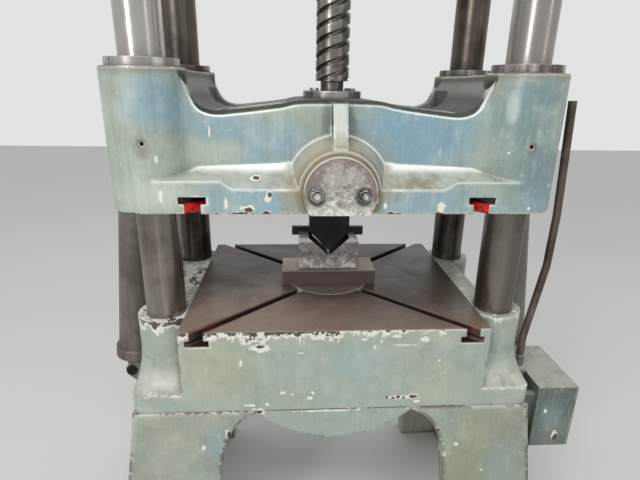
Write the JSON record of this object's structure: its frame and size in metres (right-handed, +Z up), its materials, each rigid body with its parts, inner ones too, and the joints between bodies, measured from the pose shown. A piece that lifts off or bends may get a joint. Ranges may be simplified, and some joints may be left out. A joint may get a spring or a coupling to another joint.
{
  "type": "screw press",
  "caption": "Screw press with a table on two leg castings, round columns, a sliding crosshead driven by a multi-start screw, vee die and punch, balance cylinders and a control lever.",
  "frame": {"origin": "on the floor, straight below the screw axis", "axes": "+Z up, the front with the vee die's end plate faces -Y, +X towards the control box"},
  "size_m": [1.2075, 0.66, 2.218],
  "materials": {
    "machine_paint": "worn satin enamel on cast iron",
    "column_steel": "worn turned steel",
    "dark_steel": "black oxide steel",
    "bright_steel": "machined steel",
    "table_steel": "machined iron with light rust",
    "bronze": "machined bronze",
    "tube_paint": "worn grey enamel",
    "rod_steel": "drawn steel",
    "grip": "black"
  },
  "bodies": {
    "bed": {"bed_casting": "machine_paint", "left_leg": "machine_paint", "right_leg": "machine_paint", "crown_casting": "machine_paint", "foot_bracket_left": "machine_paint", "foot_bracket_right": "machine_paint", "box_hangers": "machine_paint", "control_box": "machine_paint", "box_cover": "machine_paint", "column_front_left": "column_steel", "column_front_right": "column_steel", "column_rear_left": "column_steel", "column_rear_right": "column_steel", "crown_washers": "dark_steel", "crown_nuts": "dark_steel", "foot_nuts": "dark_steel", "leg_bolts": "dark_steel", "screw_nut_bolts": "dark_steel", "bracket_bolts": "dark_steel", "cover_screws": "dark_steel", "lever_pin": "dark_steel", "foot_pin_left": "dark_steel", "foot_pin_right": "dark_steel", "v_block": "bright_steel", "table_insert": "table_steel", "die_plate": "table_steel", "screw_nut": "bronze"},
    "crosshead": {"crosshead_casting": "machine_paint", "punch": "dark_steel", "punch_studs": "dark_steel", "gauge_bar": "dark_steel", "gauge_screws": "dark_steel", "head_pin_left": "dark_steel", "head_pin_right": "dark_steel", "tool_bar": "dark_steel", "wiper_rings": "bright_steel", "wiper_screws": "bright_steel", "thrust_ring": "bright_steel", "ring_screws": "bright_steel", "end_plate_front": "bright_steel", "end_plate_rear": "bright_steel", "end_studs": "bright_steel", "end_washers": "bright_steel", "end_nuts": "bright_steel", "guide_bushes": "bronze", "thrust_bearing": "bronze"},
    "screw": {"handwheel": "machine_paint", "wheel_nut": "dark_steel", "wheel_key": "dark_steel", "press_screw": "bright_steel", "wheel_grips": "grip"},
    "balance_tube_left": {"balance_tube_left": "tube_paint", "balance_gland_left": "rod_steel"},
    "balance_tube_right": {"balance_tube_right": "tube_paint", "balance_gland_right": "rod_steel"},
    "balance_rod_left": {"balance_rod_left": "rod_steel"},
    "balance_rod_right": {"balance_rod_right": "rod_steel"},
    "lever": {"lever_hub": "machine_paint", "control_lever": "rod_steel"}
  },
  "joints": [
    {"name": "crosshead_slide", "type": "slide", "parent": "bed", "child": "crosshead", "axis": [0, 0, 1], "range_m": [-0.01, 0.35]},
    {"name": "screw_spin", "type": "hinge", "parent": "crosshead", "child": "screw", "pos_m": [0, 0, 1.3], "axis": [0, 0, 1], "continuous": true},
    {"name": "lever_swing", "type": "hinge", "parent": "bed", "child": "lever", "pos_m": [0.489, -0.178, 0.594], "axis": [1, 0, 0], "range_deg": [-6, 15]},
    {"name": "balance_tilt_left", "type": "hinge", "parent": "bed", "child": "balance_tube_left", "pos_m": [-0.552, 0, 0.52], "axis": [0, 1, 0], "range_deg": [-2.43, 0.12]},
    {"name": "balance_rod_slide_left", "type": "slide", "parent": "balance_tube_left", "child": "balance_rod_left", "axis": [0.1129, 0, 0.9936], "range_m": [-0.011, 0.351]},
    {"name": "balance_tilt_right", "type": "hinge", "parent": "bed", "child": "balance_tube_right", "pos_m": [0.552, 0, 0.52], "axis": [0, 1, 0], "range_deg": [-0.12, 2.43]},
    {"name": "balance_rod_slide_right", "type": "slide", "parent": "balance_tube_right", "child": "balance_rod_right", "axis": [-0.1129, 0, 0.9936], "range_m": [-0.011, 0.351]}
  ],
  "couplings": [
    {"joint": "screw_spin", "follows": "crosshead_slide", "rad_per_m": 69.813},
    {"joint": "balance_tilt_left", "follows": "crosshead_slide", "rad_per_m": -0.1185},
    {"joint": "balance_rod_slide_left", "follows": "crosshead_slide", "ratio": 0.9956},
    {"joint": "balance_tilt_right", "follows": "crosshead_slide", "rad_per_m": 0.1185},
    {"joint": "balance_rod_slide_right", "follows": "crosshead_slide", "ratio": 0.9956}
  ]
}
